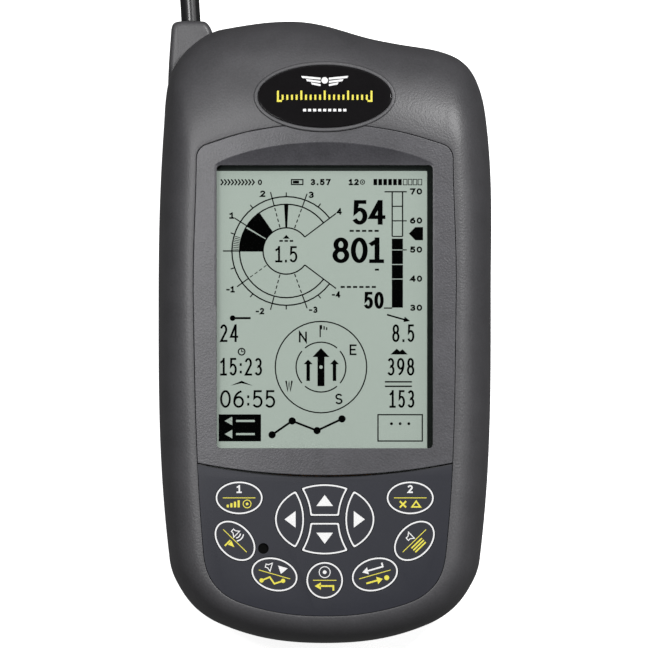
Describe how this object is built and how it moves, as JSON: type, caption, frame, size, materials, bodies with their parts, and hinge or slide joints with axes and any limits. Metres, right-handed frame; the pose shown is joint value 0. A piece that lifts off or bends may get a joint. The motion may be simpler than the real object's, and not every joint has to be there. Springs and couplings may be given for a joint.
{
  "type": "handheld aviation gps",
  "caption": "Handheld aviation GPS and flight computer with a large display, a keypad, a plug-in rod antenna and a flat back with brass mounting inserts.",
  "frame": {"origin": "on the flat back face, in the middle of the housing", "axes": "+Z out of the display, +Y towards the antenna end, +X to the right seen from the front"},
  "size_m": [0.0961, 0.2544, 0.0428],
  "materials": {
    "front_housing": "fine-grained moulded",
    "rear_housing": "fine-grained moulded",
    "bezel_plastic": "satin moulded",
    "badge_gloss": "polished",
    "window_clear": "clear",
    "display_glass": "matte grey-green",
    "tray_plastic": "moulded",
    "flex_film": "smooth film",
    "foil_film": "satin film",
    "key_cap": "satin, printed",
    "dome_steel": "bright nickel",
    "board_green": "solder resist",
    "mesh_black": "fine cloth",
    "screw_steel": "zinc plated",
    "shield_tin": "tin plated",
    "ceramic": "fired ceramic",
    "socket_black": "moulded",
    "cover_rubber": "soft matte",
    "seal_rubber": "matte",
    "brass": "turned",
    "antenna_gloss": "polished",
    "lead_jacket": "soft jacket",
    "cell_label": "shrink sleeve"
  },
  "bodies": {
    "housing": {"front_shell": "front_housing", "rear_shell": "rear_housing", "display_bezel": "bezel_plastic", "badge_plate": "badge_gloss", "display_window": "window_clear", "lcd_panel": "display_glass", "lcd_tray": "tray_plastic", "keypad_spacer": "tray_plastic", "sounder": "tray_plastic", "lcd_flex": "flex_film", "keypad_flex": "flex_film", "keypad_foil": "foil_film", "dome_contacts": "dome_steel", "battery_springs": "dome_steel", "battery_contacts": "dome_steel", "keypad_board": "board_green", "main_board": "board_green", "gps_board": "board_green", "port_board": "board_green", "sounder_mesh": "mesh_black", "housing_screws": "screw_steel", "board_screws": "screw_steel", "port_cover_pin": "screw_steel", "processor_shield": "shield_tin", "radio_module": "shield_tin", "data_socket": "shield_tin", "pressure_sensor": "shield_tin", "gps_patch_antenna": "ceramic", "audio_socket": "socket_black", "housing_gasket": "seal_rubber", "antenna_seal": "seal_rubber", "antenna_socket": "brass", "mount_inserts": "brass", "antenna_lead": "lead_jacket", "battery_leads": "lead_jacket", "battery_cells": "cell_label"},
    "battery_door": {"battery_door": "rear_housing"},
    "port_cover": {"port_cover": "cover_rubber"},
    "antenna": {"antenna_rod": "antenna_gloss"},
    "key_left_top": {"key_left_top": "key_cap"},
    "key_right_top": {"key_right_top": "key_cap"},
    "key_left_side": {"key_left_side": "key_cap"},
    "key_right_side": {"key_right_side": "key_cap"},
    "key_left_low": {"key_left_low": "key_cap"},
    "key_right_low": {"key_right_low": "key_cap"},
    "key_middle_low": {"key_middle_low": "key_cap"},
    "key_up": {"key_up": "key_cap"},
    "key_down": {"key_down": "key_cap"},
    "key_left": {"key_left": "key_cap"},
    "key_right": {"key_right": "key_cap"}
  },
  "joints": [
    {"name": "battery_door_slide", "type": "slide", "parent": "housing", "child": "battery_door", "axis": [0, -1, 0], "range_m": [0, 0.06]},
    {"name": "port_cover_hinge", "type": "hinge", "parent": "housing", "child": "port_cover", "pos_m": [0.0454, 0.0326, 0.014], "axis": [0, 0, 1], "range_deg": [0, 95]},
    {"name": "antenna_plug", "type": "slide", "parent": "housing", "child": "antenna", "axis": [-0.061, 0.9981, 0], "range_m": [0, 0.012]},
    {"name": "key_left_top_press", "type": "slide", "parent": "housing", "child": "key_left_top", "axis": [0, 0, -1], "range_m": [0, 0.0004], "stiffness_N_per_m": 2500},
    {"name": "key_right_top_press", "type": "slide", "parent": "housing", "child": "key_right_top", "axis": [0, 0, -1], "range_m": [0, 0.0004], "stiffness_N_per_m": 2500},
    {"name": "key_left_side_press", "type": "slide", "parent": "housing", "child": "key_left_side", "axis": [0, 0, -1], "range_m": [0, 0.0004], "stiffness_N_per_m": 2500},
    {"name": "key_right_side_press", "type": "slide", "parent": "housing", "child": "key_right_side", "axis": [0, 0, -1], "range_m": [0, 0.0004], "stiffness_N_per_m": 2500},
    {"name": "key_left_low_press", "type": "slide", "parent": "housing", "child": "key_left_low", "axis": [0, 0, -1], "range_m": [0, 0.0004], "stiffness_N_per_m": 2500},
    {"name": "key_right_low_press", "type": "slide", "parent": "housing", "child": "key_right_low", "axis": [0, 0, -1], "range_m": [0, 0.0004], "stiffness_N_per_m": 2500},
    {"name": "key_middle_low_press", "type": "slide", "parent": "housing", "child": "key_middle_low", "axis": [0, 0, -1], "range_m": [0, 0.0004], "stiffness_N_per_m": 2500},
    {"name": "key_up_press", "type": "slide", "parent": "housing", "child": "key_up", "axis": [0, 0, -1], "range_m": [0, 0.0004], "stiffness_N_per_m": 2500},
    {"name": "key_down_press", "type": "slide", "parent": "housing", "child": "key_down", "axis": [0, 0, -1], "range_m": [0, 0.0004], "stiffness_N_per_m": 2500},
    {"name": "key_left_press", "type": "slide", "parent": "housing", "child": "key_left", "axis": [0, 0, -1], "range_m": [0, 0.0004], "stiffness_N_per_m": 2500},
    {"name": "key_right_press", "type": "slide", "parent": "housing", "child": "key_right", "axis": [0, 0, -1], "range_m": [0, 0.0004], "stiffness_N_per_m": 2500}
  ]
}
